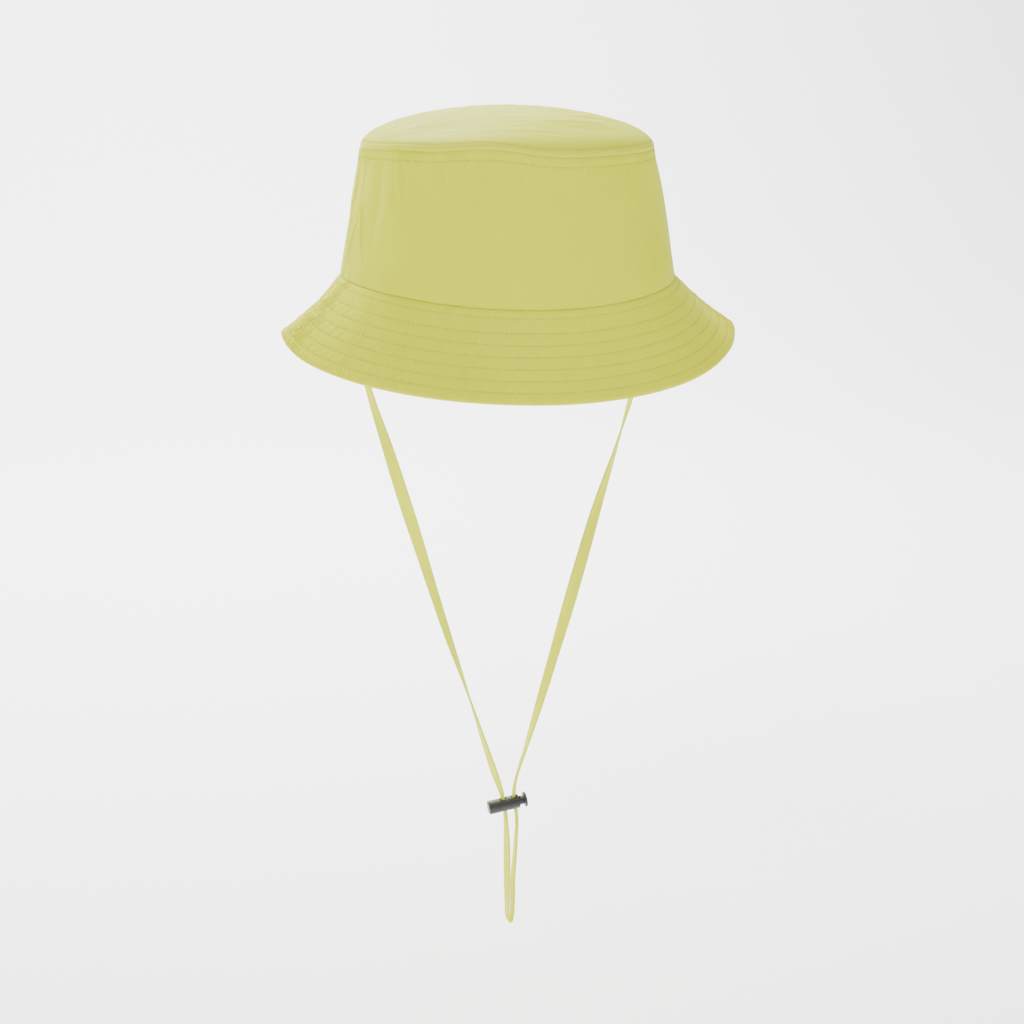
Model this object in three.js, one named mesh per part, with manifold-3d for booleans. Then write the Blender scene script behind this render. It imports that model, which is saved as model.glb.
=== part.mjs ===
// Surf bucket hat of thin stitched nylon, with a flat chin strap and a two-hole barrel toggle.
// Millimetres, +Z up. The front faces -Y, and +X is to the right as seen from the front.
// The origin is the middle of the head opening, level with the crown's brim seam at the sides.
// Azimuths are in degrees about +Z from +X: 0 right side, 90 back, 180 left side, 270 front.
import * as THREE from "three";
import { mergeVertices } from "three/addons/utils/BufferGeometryUtils.js";
import Module from "manifold-3d";

const wasm = await Module();
wasm.setup();

// Crown, measured on its outside
const HEAD_HALF_WIDTH = 90;
const HEAD_HALF_DEPTH = 98;
const TIP_HALF_WIDTH = 78;
const TIP_HALF_DEPTH = 84;
const CROWN_HEIGHT = 67.8;
const TIP_RISE = 21.3;
const TIP_ROUNDNESS = 1.95;
const TIP_SEAM_REACH = 8;
const CROWN_WALL = 1.5;
const SEAM_DIP = 6.1;

// Brim, its width measured along the cloth from the crown seam to the edge
const BRIM_WIDTH = 49;
const BRIM_WALL = 2;
const FIRST_ROW = 4.2;
const EDGE_ROW = 6;
const ROW_SPACING = 6.2;
const ROW_PUFF = 0.45;

// Chin strap
const STRAP_WIDTH = 7;
const STRAP_THICKNESS = 1.4;
const STRAP_BUNCHED = 2.2;
const STEPS_PER_SPAN = 2;

// Toggle, along its own axis from the barrel's closed end
const TOGGLE_END = new THREE.Vector3(-11, 0, -307.5);
const TOGGLE_TILT_DEG = 9;
const BARREL_LENGTH = 18.3;
const BARREL_DIAMETER = 8;
const BARREL_END_WALL = 1.5;
const BARREL_EDGE = 0.6;
const BARREL_SIDES = 24;
const HOLE_AT = 9.3;
const HOLE_SPACING = 6.5;
const HOLE_DIAMETER = 3.2;
const HOLE_MOUTH = 4.4;
const HOLE_MOUTH_DEPTH = 1;
const HOLE_SIDES = 16;
const PLUNGER_DIAMETER = 5.2;
const PLUNGER_TRAVEL = 2.3;
const PLUNGER_STOP = 0.7;
const PLUNGER_HEEL = 1.7;
const FLANGE_DIAMETER = 8.8;
const FLANGE_THICKNESS = 1.4;

const PIECE_GAP = 0.3;

const CROWN_COLUMNS = 48;
const BRIM_COLUMNS = 40;
const TIP_COLUMNS = 72;

// The brim's slope below the horizontal half way along its width, from the right side (0) by the
// front or back (90) to the left side (180), and how much steeper it starts than it ends
const BRIM_FORM = [
  { azimuth: 0, slope: 38.7, ease: 14.7 },
  { azimuth: 15, slope: 46.3, ease: 13.3 },
  { azimuth: 30, slope: 56, ease: 11.7 },
  { azimuth: 45, slope: 60.9, ease: 9.5 },
  { azimuth: 60, slope: 62.7, ease: 7.9 },
  { azimuth: 75, slope: 63.1, ease: 7.6 },
  { azimuth: 90, slope: 63.6, ease: 8.3 },
  { azimuth: 105, slope: 63.1, ease: 9 },
  { azimuth: 120, slope: 63.1, ease: 9.2 },
  { azimuth: 135, slope: 62, ease: 8.7 },
  { azimuth: 150, slope: 58, ease: 7.9 },
  { azimuth: 165, slope: 49.6, ease: 6.6 },
  { azimuth: 180, slope: 38.8, ease: 4.1 },
];

// Stretches of the brim that flare more than that, in degrees, and how many millimetres its
// stitching draws the brim's width in there
const BRIM_WAVES = [
  { azimuth: 62, spread: 15, lift: 2.5, draw: 0 },
  { azimuth: 116, spread: 16, lift: -1.5, draw: 0 },
  { azimuth: 177.5, spread: 10.2, lift: 0.7, draw: 5 },
];

// Where the seam between the crown's side and its tip runs higher, in millimetres
const TIP_SEAM_WAVES = [
  { azimuth: 248, spread: 18, rise: 4.5 },
  { azimuth: 215, spread: 22, rise: 2.2 },
  { azimuth: 60, spread: 22, rise: 2.5 },
  { azimuth: 115, spread: 20, rise: -1.5 },
];

// Soft upright folds in the crown's side, from low to high as shares of its height
const CROWN_FOLDS = [
  { azimuth: 222, low: 0.05, high: 0.95, spread: 7, depth: 1.7 },
  { azimuth: 208, low: 0.3, high: 1.1, spread: 6.5, depth: -0.8 },
  { azimuth: 243, low: 0.55, high: 1.1, spread: 6, depth: 0.8 },
  { azimuth: 318, low: 0.1, high: 1, spread: 8, depth: 1.3 },
  { azimuth: 340, low: 0.2, high: 0.9, spread: 7, depth: -0.7 },
  { azimuth: 35, low: 0.1, high: 0.95, spread: 8, depth: 1.3 },
  { azimuth: 78, low: 0.5, high: 1.1, spread: 7, depth: 0.9 },
  { azimuth: 131, low: 0.05, high: 0.9, spread: 8, depth: 1.5 },
  { azimuth: 160, low: 0.3, high: 1, spread: 7, depth: -0.8 },
];

// Shallow creases and ridges in the tip, their ends as shares of the tip's half sizes
const TIP_CREASES = [
  { fromX: -0.9, fromY: -0.36, toX: -0.35, toY: -0.62, spread: 7, depth: 1.5 },
  { fromX: 0.1, fromY: -0.78, toX: 0.66, toY: -0.6, spread: 7, depth: 1.1 },
  { fromX: 0.2, fromY: -0.45, toX: 0.75, toY: -0.28, spread: 8, depth: -0.8 },
  { fromX: -0.5, fromY: 0.1, toX: 0.2, toY: -0.05, spread: 10, depth: 0.9 },
  { fromX: -0.7, fromY: 0.55, toX: -0.1, toY: 0.72, spread: 8, depth: 1.1 },
  { fromX: 0.35, fromY: 0.62, toX: 0.82, toY: 0.3, spread: 8, depth: 1.2 },
];

// The chin strap's middle line, chosen by hand, from its left end in the crown through the
// toggle's first hole, down and round the loop, up through the second hole to its right end.
// Twist turns the tape about this line: at 90 its width runs front to back. Bunched is 0 where
// the tape is flat and 1 where it is gathered to pass the toggle.
const STRAP_ROUTE = [
  { x: -85.9, z: 9, twist: 90, bunched: 0 },
  { x: -87.4, z: -5, twist: 90, bunched: 0 },
  { x: -84.8, z: -28, twist: 86, bunched: 0 },
  { x: -76, z: -64, twist: 71, bunched: 0 },
  { x: -67.7, z: -91, twist: 45, bunched: 0 },
  { x: -59.5, z: -118.5, twist: 18, bunched: 0 },
  { x: -51.1, z: -146, twist: -18, bunched: 0 },
  { x: -42.6, z: -174.5, twist: -38, bunched: 0 },
  { x: -33.9, z: -203, twist: -52, bunched: 0 },
  { x: -24.4, z: -232, twist: -76, bunched: 0 },
  { x: -12.2, z: -271, twist: -104, bunched: 0 },
  { x: -6.6, z: -288.5, twist: -113, bunched: 0.1 },
  { x: -3.6, z: -297.6, twist: -113, bunched: 0.6 },
  { x: -2.51, z: -301.6, twist: -110, bunched: 1 },
  { x: -1.81, z: -306.05, twist: -106, bunched: 1 },
  { x: -1.11, z: -310.5, twist: -102, bunched: 1 },
  { x: -0.5, z: -317, twist: -100, bunched: 0.5 },
  { x: 0, z: -332, twist: -104, bunched: 0 },
  { x: 0.1, z: -353, twist: -103, bunched: 0 },
  { x: 0.05, z: -369, twist: -94, bunched: 0 },
  { x: 0, z: -375.4, twist: -90, bunched: 0 },
  { x: 1.3, z: -378.4, twist: -90, bunched: 0 },
  { x: 2.8, z: -375.8, twist: -90, bunched: 0 },
  { x: 3.4, z: -367, twist: -88, bunched: 0 },
  { x: 3.7, z: -351, twist: -88, bunched: 0 },
  { x: 5.1, z: -332, twist: -92, bunched: 0.1 },
  { x: 5.85, z: -316.5, twist: -95, bunched: 0.6 },
  { x: 5.31, z: -309.5, twist: -98, bunched: 1 },
  { x: 4.61, z: -305.03, twist: -101, bunched: 1 },
  { x: 3.91, z: -300.6, twist: -104, bunched: 1 },
  { x: 5.6, z: -290, twist: -103, bunched: 0.3 },
  { x: 11, z: -273, twist: -96, bunched: 0 },
  { x: 19.6, z: -245, twist: -73, bunched: 0 },
  { x: 30.7, z: -207.5, twist: -52, bunched: 0 },
  { x: 41.4, z: -170.5, twist: -8, bunched: 0 },
  { x: 52, z: -134, twist: 24, bunched: 0 },
  { x: 63.4, z: -98, twist: 63, bunched: 0 },
  { x: 73, z: -65, twist: 92, bunched: 0 },
  { x: 87.4, z: -5, twist: 90, bunched: 0 },
  { x: 85.9, z: 9, twist: 90, bunched: 0 },
];

// Fabric and plastic
const CROWN_CLOTH = { color: 0xe9e76e, roughness: 0.62, metalness: 0 };
const TIP_CLOTH = { color: 0xf2ef96, roughness: 0.6, metalness: 0 };
const BRIM_CLOTH = { color: 0xebe874, roughness: 0.62, metalness: 0 };
const STRAP_CLOTH = { color: 0xebe87a, roughness: 0.66, metalness: 0 };
const TOGGLE_PLASTIC = { color: 0x545258, roughness: 0.45, metalness: 0 };

const group = new THREE.Group();

function addPiece(parent, name, geometry, finish) {
  const mesh = new THREE.Mesh(geometry, new THREE.MeshStandardMaterial(finish));
  mesh.name = name;
  parent.add(mesh);
  return mesh;
}

// Value of a column at an azimuth between 0 and 180, level at both ends of the table
function tableValue(rows, column, azimuth) {
  const last = rows.length - 1;
  let k = 0;
  while (k < last - 1 && azimuth > rows[k + 1].azimuth) {
    k += 1;
  }
  const steepness = (i) => {
    if (i === 0 || i === last) return 0;
    return (rows[i + 1][column] - rows[i - 1][column]) / (rows[i + 1].azimuth - rows[i - 1].azimuth);
  };
  const span = rows[k + 1].azimuth - rows[k].azimuth;
  const u = THREE.MathUtils.clamp((azimuth - rows[k].azimuth) / span, 0, 1);
  const start = (2 * u ** 3 - 3 * u ** 2 + 1) * rows[k][column];
  const end = (3 * u ** 2 - 2 * u ** 3) * rows[k + 1][column];
  const leave = (u ** 3 - 2 * u ** 2 + u) * span * steepness(k);
  const arrive = (u ** 3 - u ** 2) * span * steepness(k + 1);
  return start + end + leave + arrive;
}

// 1 on the middle line of a fold or wave, falling away to 0 on both sides
function bell(distance, spread) {
  return Math.exp(-((distance / spread) ** 2));
}

function azimuthBetween(a, b) {
  return Math.abs(THREE.MathUtils.euclideanModulo(a - b + 180, 360) - 180);
}

function seamDrop(azimuth) {
  return SEAM_DIP * Math.sin(THREE.MathUtils.degToRad(azimuth)) ** 2;
}

function tipSeamRise(azimuth) {
  let rise = 0;
  for (const wave of TIP_SEAM_WAVES) {
    rise += wave.rise * bell(azimuthBetween(azimuth, wave.azimuth), wave.spread);
  }
  return rise;
}

// Solid through rings of as many points each, closed by a flat cap on the first and last ring.
// Each ring is also given flat, as the outline that its cap is cut from.
function loft(rings, outlines) {
  const count = rings[0].length;
  const faces = [];
  for (let r = 0; r + 1 < rings.length; r += 1) {
    for (let i = 0; i < count; i += 1) {
      const a = r * count + i;
      const b = r * count + ((i + 1) % count);
      faces.push(a, b, b + count, a, b + count, a + count);
    }
  }
  const lastRing = (rings.length - 1) * count;
  for (const [a, b, c] of capTriangles(outlines[0])) {
    faces.push(c, b, a);
  }
  for (const [a, b, c] of capTriangles(outlines.at(-1))) {
    faces.push(lastRing + a, lastRing + b, lastRing + c);
  }
  return facedOutward(rings.flat(), faces);
}

// Triangles of a cap, turned the same way round as its outline
function capTriangles(outline) {
  const triangles = THREE.ShapeUtils.triangulateShape([...outline], []);
  const clockwise = THREE.ShapeUtils.area(outline) < 0;
  return clockwise ? triangles.map((corners) => [...corners].reverse()) : triangles;
}

// Geometry of a closed mesh, turned so that its faces point out
function facedOutward(points, faces) {
  let volume = 0;
  const cross = new THREE.Vector3();
  for (let i = 0; i < faces.length; i += 3) {
    const [a, b, c] = [points[faces[i]], points[faces[i + 1]], points[faces[i + 2]]];
    volume += a.dot(cross.crossVectors(b, c));
  }
  if (volume < 0) {
    faces.reverse();
  }
  const geometry = new THREE.BufferGeometry();
  const numbers = points.flatMap((point) => point.toArray());
  geometry.setAttribute("position", new THREE.Float32BufferAttribute(numbers, 3));
  geometry.setIndex(faces);
  geometry.computeVertexNormals();
  return geometry;
}

// Upright folds: how far the crown's side is pressed in at an azimuth and a share of its height
function crownDent(azimuth, share) {
  let dent = 0;
  for (const fold of CROWN_FOLDS) {
    const away = THREE.MathUtils.degToRad(azimuthBetween(azimuth, fold.azimuth)) * HEAD_HALF_WIDTH;
    const along = (share - fold.low) / (fold.high - fold.low);
    if (along > 0 && along < 1) {
      dent += fold.depth * bell(away, fold.spread) * Math.sin(Math.PI * along);
    }
  }
  return dent;
}

// Point of the crown's side, inset from its outside. Its top and bottom rim leave a gap to the
// tip and to the brim.
function crownPoint(azimuth, share, inset) {
  const angle = THREE.MathUtils.degToRad(azimuth);
  const inward = inset + crownDent(azimuth, share);
  const halfWidth = THREE.MathUtils.lerp(HEAD_HALF_WIDTH, TIP_HALF_WIDTH, share) - inward;
  const halfDepth = THREE.MathUtils.lerp(HEAD_HALF_DEPTH, TIP_HALF_DEPTH, share) - inward;
  const bottom = PIECE_GAP - seamDrop(azimuth);
  const top = CROWN_HEIGHT - PIECE_GAP / 2 + tipSeamRise(azimuth);
  const z = THREE.MathUtils.lerp(bottom, top, share);
  return new THREE.Vector3(halfWidth * Math.cos(angle), halfDepth * Math.sin(angle), z);
}

// Half of the crown's side, between the two side seams
function crownPanel(startAzimuth) {
  const seamGap = THREE.MathUtils.radToDeg(PIECE_GAP / 2 / TIP_HALF_WIDTH);
  const outerShares = [0, 0.06, 0.15, 0.28, 0.42, 0.56, 0.7, 0.82, 0.92, 1];
  const innerShares = [1, 0.7, 0.35, 0];
  const rings = [];
  const outlines = [];
  for (let column = 0; column <= CROWN_COLUMNS; column += 1) {
    const share = column / CROWN_COLUMNS;
    const azimuth = THREE.MathUtils.lerp(startAzimuth + seamGap, startAzimuth + 180 - seamGap, share);
    const ring = [
      ...outerShares.map((height) => crownPoint(azimuth, height, 0)),
      ...innerShares.map((height) => crownPoint(azimuth, height, CROWN_WALL)),
    ];
    rings.push(ring);
    outlines.push(ring.map((point) => new THREE.Vector2(Math.hypot(point.x, point.y), point.z)));
  }
  return loft(rings, outlines);
}

// How far the tip is pressed in at a point given as shares of its half sizes
function tipDent(shareX, shareY) {
  let dent = 0;
  for (const crease of TIP_CREASES) {
    const from = new THREE.Vector2(crease.fromX * TIP_HALF_WIDTH, crease.fromY * TIP_HALF_DEPTH);
    const to = new THREE.Vector2(crease.toX * TIP_HALF_WIDTH, crease.toY * TIP_HALF_DEPTH);
    const point = new THREE.Vector2(shareX * TIP_HALF_WIDTH, shareY * TIP_HALF_DEPTH);
    const line = to.clone().sub(from);
    const along = point.clone().sub(from).dot(line) / line.lengthSq();
    if (along > 0 && along < 1) {
      const away = point.distanceTo(from.addScaledVector(line, along));
      dent += crease.depth * bell(away, crease.spread) * Math.sin(Math.PI * along);
    }
  }
  return dent;
}

// Point of the tip, inset from its outside: lean is 0 in its middle and 90 at its rim
function tipPoint(azimuth, lean, inset) {
  const angle = THREE.MathUtils.degToRad(azimuth);
  const reach = Math.sin(THREE.MathUtils.degToRad(lean));
  const rise = Math.sqrt(Math.max(0, 1 - reach ** TIP_ROUNDNESS));
  const dent = tipDent(reach * Math.cos(angle), reach * Math.sin(angle)) * rise;
  const x = (TIP_HALF_WIDTH - inset) * reach * Math.cos(angle);
  const y = (TIP_HALF_DEPTH - inset) * reach * Math.sin(angle);
  const rim = CROWN_HEIGHT + PIECE_GAP / 2 + tipSeamRise(azimuth) * reach ** TIP_SEAM_REACH;
  const z = rim + (TIP_RISE - inset) * rise - dent;
  return new THREE.Vector3(x, y, z);
}

// The oval tip, a domed shell open at its rim
function tipPanel() {
  const outerLeans = [12, 24, 36, 48, 59, 69, 78, 85, 90];
  const innerLeans = [90, 74, 56, 37, 18];
  const points = [tipPoint(0, 0, 0), tipPoint(0, 0, CROWN_WALL)];
  const faces = [];
  const ringSize = outerLeans.length + innerLeans.length;
  const at = (column, row) => 2 + (column % TIP_COLUMNS) * ringSize + row;
  for (let column = 0; column < TIP_COLUMNS; column += 1) {
    const azimuth = (360 * column) / TIP_COLUMNS;
    points.push(...outerLeans.map((lean) => tipPoint(azimuth, lean, 0)));
    points.push(...innerLeans.map((lean) => tipPoint(azimuth, lean, CROWN_WALL)));
    faces.push(0, at(column, 0), at(column + 1, 0));
    faces.push(1, at(column + 1, ringSize - 1), at(column, ringSize - 1));
    for (let row = 0; row + 1 < ringSize; row += 1) {
      faces.push(at(column, row), at(column, row + 1), at(column + 1, row + 1));
      faces.push(at(column, row), at(column + 1, row + 1), at(column + 1, row));
    }
  }
  return facedOutward(points, faces);
}

// Distances of the brim's stitched rows from the crown seam
function stitchedRows() {
  const rows = [FIRST_ROW];
  const count = Math.floor((BRIM_WIDTH - EDGE_ROW - FIRST_ROW) / ROW_SPACING);
  for (let k = count - 1; k >= 0; k -= 1) {
    rows.push(BRIM_WIDTH - EDGE_ROW - k * ROW_SPACING);
  }
  return rows;
}

function brimSlope(azimuth, distance) {
  const fromRight = azimuthBetween(azimuth, 0);
  let slope = tableValue(BRIM_FORM, "slope", fromRight);
  for (const { azimuth: middle, spread, lift } of BRIM_WAVES) {
    slope -= lift * bell(azimuthBetween(azimuth, middle), spread);
  }
  slope += tableValue(BRIM_FORM, "ease", fromRight) * (0.5 - distance / BRIM_WIDTH);
  return THREE.MathUtils.degToRad(slope);
}

// Points of the brim's top surface and the directions across it, at the given distances
function brimLine(azimuth, distances) {
  const angle = THREE.MathUtils.degToRad(azimuth);
  const seam = new THREE.Vector2(HEAD_HALF_WIDTH * Math.cos(angle), HEAD_HALF_DEPTH * Math.sin(angle));
  const outward = new THREE.Vector2(Math.cos(angle) / HEAD_HALF_WIDTH, Math.sin(angle) / HEAD_HALF_DEPTH);
  outward.normalize();
  let drawn = 1;
  for (const { azimuth: middle, spread, draw } of BRIM_WAVES) {
    drawn -= (draw / BRIM_WIDTH) * bell(azimuthBetween(azimuth, middle), spread);
  }
  let out = 0;
  let down = seamDrop(azimuth);
  let reached = 0;
  return distances.map((distance) => {
    const slope = brimSlope(azimuth, (reached + distance) / 2);
    out += (distance - reached) * drawn * Math.cos(slope);
    down += (distance - reached) * drawn * Math.sin(slope);
    reached = distance;
    const across = brimSlope(azimuth, distance);
    return {
      point: new THREE.Vector3(seam.x + out * outward.x, seam.y + out * outward.y, -down),
      up: new THREE.Vector3(
        Math.sin(across) * outward.x,
        Math.sin(across) * outward.y,
        Math.cos(across),
      ),
      flat: new THREE.Vector2(out, -down),
      flatUp: new THREE.Vector2(Math.sin(across), Math.cos(across)),
    };
  });
}

// Half of the brim, between the two side seams: two layers of cloth stitched together in rows,
// pressed down at each row and puffed up between two rows
function brimPanel(startAzimuth) {
  const seamGap = THREE.MathUtils.radToDeg(PIECE_GAP / 2 / HEAD_HALF_WIDTH);
  const lines = [0, ...stitchedRows(), BRIM_WIDTH];
  const top = lines.flatMap((distance, k) => {
    const valley = { distance, lift: 0 };
    return k === 0 ? [valley] : [{ distance: (lines[k - 1] + distance) / 2, lift: ROW_PUFF }, valley];
  });
  const under = lines.filter((distance, k) => k % 2 === 0 || k === lines.length - 1);
  const rings = [];
  const outlines = [];
  for (let column = 0; column <= BRIM_COLUMNS; column += 1) {
    const share = column / BRIM_COLUMNS;
    const azimuth = THREE.MathUtils.lerp(startAzimuth + seamGap, startAzimuth + 180 - seamGap, share);
    const above = brimLine(azimuth, top.map((row) => row.distance));
    const below = brimLine(azimuth, under).reverse();
    const ring = above.map(({ point, up }, k) => point.clone().addScaledVector(up, top[k].lift));
    const outline = above.map(({ flat, flatUp }, k) => flat.clone().addScaledVector(flatUp, top[k].lift));
    for (const { point, up, flat, flatUp } of below) {
      ring.push(point.clone().addScaledVector(up, -BRIM_WALL));
      outline.push(flat.clone().addScaledVector(flatUp, -BRIM_WALL));
    }
    rings.push(ring);
    outlines.push(outline);
  }
  return loft(rings, outlines);
}

// The strap's cross-section: a flat tape with soft corners, or a round bundle where it is gathered
function strapSection(bunched) {
  const half = STRAP_WIDTH / 2;
  const side = STRAP_THICKNESS / 2;
  const corner = STRAP_THICKNESS / 4;
  const flat = [
    { across: half, through: -corner },
    { across: half, through: corner },
    { across: half - side, through: side },
    { across: side - half, through: side },
    { across: -half, through: corner },
    { across: -half, through: -corner },
    { across: side - half, through: -side },
    { across: half - side, through: -side },
  ];
  return flat.map(({ across, through }, k) => {
    const turn = ((k - 0.5) * Math.PI) / 4;
    return new THREE.Vector2(
      THREE.MathUtils.lerp(across, (STRAP_BUNCHED / 2) * Math.cos(turn), bunched),
      THREE.MathUtils.lerp(through, (STRAP_BUNCHED / 2) * Math.sin(turn), bunched),
    );
  });
}

function strapTape() {
  const curve = new THREE.CatmullRomCurve3(STRAP_ROUTE.map(({ x, z }) => new THREE.Vector3(x, 0, z)));
  const frontToBack = new THREE.Vector3(0, 1, 0);
  const spans = STRAP_ROUTE.length - 1;
  const rings = [];
  const outlines = [];
  for (let step = 0; step <= spans * STEPS_PER_SPAN; step += 1) {
    const row = Math.min(Math.floor(step / STEPS_PER_SPAN), spans - 1);
    const share = step / STEPS_PER_SPAN - row;
    const [from, to] = [STRAP_ROUTE[row], STRAP_ROUTE[row + 1]];
    const twist = THREE.MathUtils.degToRad(THREE.MathUtils.lerp(from.twist, to.twist, share));
    const outline = strapSection(THREE.MathUtils.lerp(from.bunched, to.bunched, share));
    const place = curve.getPoint(step / (spans * STEPS_PER_SPAN));
    const along = curve.getTangent(step / (spans * STEPS_PER_SPAN));
    const sideways = frontToBack.clone().cross(along);
    const across = sideways.multiplyScalar(Math.cos(twist)).addScaledVector(frontToBack, Math.sin(twist));
    const through = along.clone().cross(across);
    rings.push(outline.map((corner) =>
      place.clone().addScaledVector(across, corner.x).addScaledVector(through, corner.y)));
    outlines.push(outline);
  }
  return loft(rings, outlines);
}

function toManifold(geometry) {
  const bare = geometry.clone();
  bare.deleteAttribute("normal");
  bare.deleteAttribute("uv");
  const merged = mergeVertices(bare, 1e-4);
  return new wasm.Manifold(new wasm.Mesh({
    numProp: 3,
    vertProperties: new Float32Array(merged.attributes.position.array),
    triVerts: new Uint32Array(merged.index.array),
  }));
}

function fromManifold(solid) {
  const mesh = solid.getMesh();
  const geometry = new THREE.BufferGeometry();
  geometry.setAttribute("position", new THREE.BufferAttribute(mesh.vertProperties, 3));
  geometry.setIndex(new THREE.BufferAttribute(mesh.triVerts, 1));
  geometry.computeVertexNormals();
  return geometry;
}

// Solid turned about +X from an outline of { along, radius } rows that starts and ends on the axis
function turnedAlongX(outline, sides) {
  const points = outline.map(({ along, radius }) => new THREE.Vector2(radius, along));
  return toManifold(new THREE.LatheGeometry(points, sides).rotateZ(-Math.PI / 2));
}

// Cutter for one strap hole: a round hole along Z that widens where it leaves the barrel
function holeCutter(along) {
  const reach = BARREL_DIAMETER;
  const mouthStart = BARREL_DIAMETER / 2 - HOLE_MOUTH_DEPTH;
  const mouthEnd = BARREL_DIAMETER / 2;
  const points = [
    new THREE.Vector2(0, -reach),
    new THREE.Vector2(HOLE_MOUTH / 2, -reach),
    new THREE.Vector2(HOLE_MOUTH / 2, -mouthEnd),
    new THREE.Vector2(HOLE_DIAMETER / 2, -mouthStart),
    new THREE.Vector2(HOLE_DIAMETER / 2, mouthStart),
    new THREE.Vector2(HOLE_MOUTH / 2, mouthEnd),
    new THREE.Vector2(HOLE_MOUTH / 2, reach),
    new THREE.Vector2(0, reach),
  ];
  const turned = new THREE.LatheGeometry(points, HOLE_SIDES).rotateX(Math.PI / 2);
  return toManifold(turned.translate(along, 0, 0));
}

// The barrel: closed at its left end, with a bore for the plunger and two holes for the strap
function barrel() {
  const radius = BARREL_DIAMETER / 2;
  const bore = PLUNGER_DIAMETER / 2 + PIECE_GAP;
  let solid = turnedAlongX([
    { along: 0, radius: 0 },
    { along: 0, radius: radius - BARREL_EDGE },
    { along: BARREL_EDGE * 0.3, radius: radius - BARREL_EDGE * 0.3 },
    { along: BARREL_EDGE, radius },
    { along: BARREL_LENGTH - BARREL_EDGE / 2, radius },
    { along: BARREL_LENGTH, radius: radius - BARREL_EDGE / 2 },
    { along: BARREL_LENGTH, radius: bore },
    { along: BARREL_END_WALL, radius: bore },
    { along: BARREL_END_WALL, radius: 0 },
  ], BARREL_SIDES);
  for (const along of [HOLE_AT, HOLE_AT + HOLE_SPACING]) {
    solid = solid.subtract(holeCutter(along));
  }
  return fromManifold(solid);
}

// The plunger, a sprung rod in the barrel with a flange to press. Each of its slots leaves the
// gathered strap free over the whole travel.
function plunger() {
  const clear = STRAP_BUNCHED / 2 + PIECE_GAP;
  const heel = HOLE_AT - clear - PLUNGER_HEEL;
  const flange = BARREL_LENGTH + PLUNGER_TRAVEL + PLUNGER_STOP;
  const neck = PLUNGER_DIAMETER / 2;
  const rim = FLANGE_DIAMETER / 2;
  const edge = FLANGE_THICKNESS / 4;
  let solid = turnedAlongX([
    { along: heel, radius: 0 },
    { along: heel, radius: neck },
    { along: flange, radius: neck },
    { along: flange, radius: rim - edge },
    { along: flange + edge, radius: rim },
    { along: flange + FLANGE_THICKNESS - edge, radius: rim },
    { along: flange + FLANGE_THICKNESS, radius: rim - edge },
    { along: flange + FLANGE_THICKNESS, radius: 0 },
  ], BARREL_SIDES);
  for (const along of [HOLE_AT, HOLE_AT + HOLE_SPACING]) {
    const length = 2 * clear + PLUNGER_TRAVEL;
    const slot = new THREE.BoxGeometry(length, 2 * clear, 2 * PLUNGER_DIAMETER);
    slot.translate(along + PLUNGER_TRAVEL / 2, 0, 0);
    solid = solid.subtract(toManifold(slot));
  }
  return fromManifold(solid);
}

addPiece(group, "crown_front", crownPanel(180), CROWN_CLOTH);
addPiece(group, "crown_back", crownPanel(0), CROWN_CLOTH);
addPiece(group, "crown_tip", tipPanel(), TIP_CLOTH);
addPiece(group, "brim_front", brimPanel(180), BRIM_CLOTH);
addPiece(group, "brim_back", brimPanel(0), BRIM_CLOTH);
addPiece(group, "chin_strap", strapTape(), STRAP_CLOTH);

const toggle = new THREE.Group();
toggle.position.copy(TOGGLE_END);
toggle.rotation.y = -THREE.MathUtils.degToRad(TOGGLE_TILT_DEG);
group.add(toggle);
addPiece(toggle, "toggle_barrel", barrel(), TOGGLE_PLASTIC);
addPiece(toggle, "toggle_plunger", plunger(), TOGGLE_PLASTIC);

export default group;
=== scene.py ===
"""Surf bucket hat of thin stitched nylon: its looks, built round its CAD part.

The forms are worked out in millimetres, in the part's own frame, and stored in metres.
Azimuths are in degrees about +Z from +X: 0 right side, 90 back, 180 left side, 270 front.
"""

import math

import bmesh
import bpy
import numpy as np
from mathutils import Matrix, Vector


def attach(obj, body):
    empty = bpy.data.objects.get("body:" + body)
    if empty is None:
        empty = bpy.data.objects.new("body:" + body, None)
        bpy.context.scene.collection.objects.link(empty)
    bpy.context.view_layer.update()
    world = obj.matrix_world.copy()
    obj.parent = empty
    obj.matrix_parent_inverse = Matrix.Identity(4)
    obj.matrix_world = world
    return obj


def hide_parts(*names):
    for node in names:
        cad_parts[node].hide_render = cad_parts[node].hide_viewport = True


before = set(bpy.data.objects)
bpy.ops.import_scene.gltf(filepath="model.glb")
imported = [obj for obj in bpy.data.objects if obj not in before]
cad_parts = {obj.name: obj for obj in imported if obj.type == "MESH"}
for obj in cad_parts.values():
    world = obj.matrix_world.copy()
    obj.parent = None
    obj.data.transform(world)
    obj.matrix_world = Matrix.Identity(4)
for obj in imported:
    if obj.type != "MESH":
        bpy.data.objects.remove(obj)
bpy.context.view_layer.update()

# The crown, as in the CAD part
HEAD_HALF_WIDTH = 90
HEAD_HALF_DEPTH = 98
TIP_HALF_WIDTH = 78
TIP_HALF_DEPTH = 84
CROWN_HEIGHT = 67.8
TIP_RISE = 21.3
TIP_ROUNDNESS = 1.95
TIP_SEAM_REACH = 8
CROWN_WALL = 1.5
SEAM_DIP = 6.1
SEAM_SHOWS = 0.08

# The brim, as in the CAD part
BRIM_WIDTH = 49
BRIM_WALL = 2
BRIM_ROWS = [4.2, 12, 18.2, 24.4, 30.6, 36.8, 43]
ROW_PUFF = 0.45
DROOP = 2.3
DROOP_FROM_SEAM = 24

# The strap, as in the CAD part
STRAP_WIDTH = 7
STRAP_THICKNESS = 1.4
STRAP_BUNCHED = 2.2

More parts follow.
